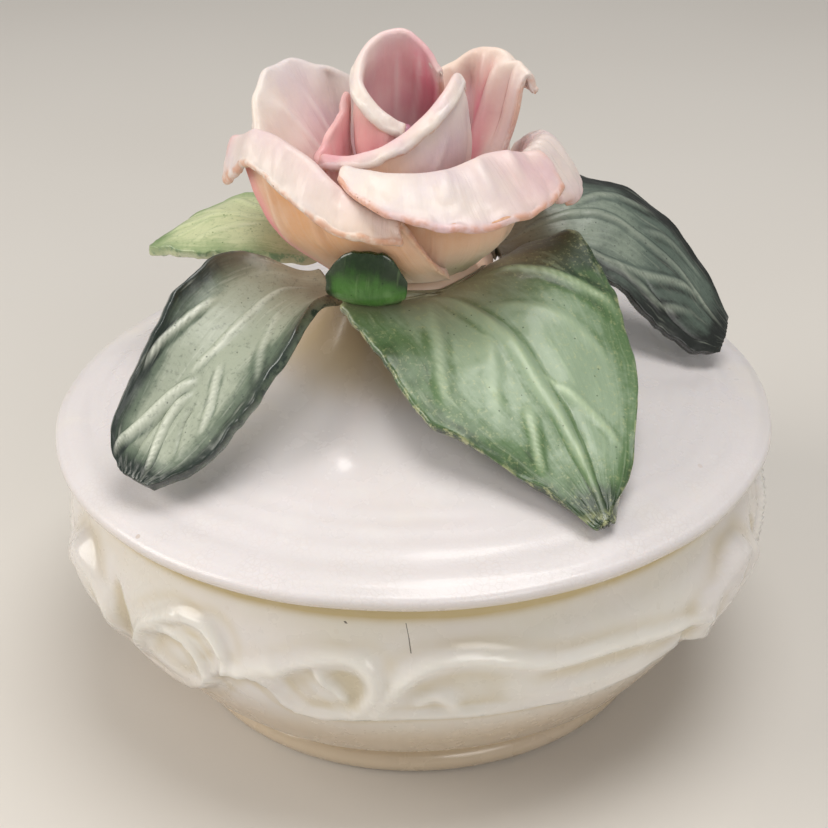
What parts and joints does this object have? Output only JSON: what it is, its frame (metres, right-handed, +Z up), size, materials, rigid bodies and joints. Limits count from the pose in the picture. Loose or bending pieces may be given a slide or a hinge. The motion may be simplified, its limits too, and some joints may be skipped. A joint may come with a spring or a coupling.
{
  "type": "trinket box",
  "caption": "Round footed porcelain trinket box with a domed lift-off lid that carries a hand-built rose and leaves.",
  "frame": {"origin": "on the box's upright axis, in the plane that the foot ring stands on", "axes": "+Z up; -Y is the front, where the two largest leaves spread; +X is the viewer's right"},
  "size_m": [0.1, 0.1, 0.0911],
  "materials": {
    "porcelain_glaze": "clear glaze over warm white porcelain, softly glossy",
    "petal_glaze": "cream porcelain with pink and peach underglaze wash, softly glossy",
    "petal_clay": "cream and peach glaze pooled thickly, softly glossy",
    "leaf_glaze": "mottled green underglaze with dark edges, glossy"
  },
  "bodies": {
    "bowl": {"bowl": "porcelain_glaze"},
    "lid": {"lid": "porcelain_glaze", "rose_base": "petal_clay", "rose_heart": "petal_glaze", "petal_bud": "petal_glaze", "petal_inner_left": "petal_glaze", "petal_inner_front": "petal_glaze", "petal_back_left": "petal_glaze", "petal_back_right": "petal_glaze", "petal_outer_left": "petal_glaze", "petal_outer_front": "petal_glaze", "petal_outer_right": "petal_glaze", "petal_outer_back_right": "petal_glaze", "petal_outer_back_left": "petal_glaze", "leaf_front_left": "leaf_glaze", "leaf_front_right": "leaf_glaze", "leaf_right": "leaf_glaze", "leaf_back_left": "leaf_glaze", "sepal_front": "leaf_glaze"}
  },
  "joints": [
    {"name": "lid_lift", "type": "slide", "parent": "bowl", "child": "lid", "axis": [0, 0, 1], "range_m": [0, 0.06]}
  ]
}
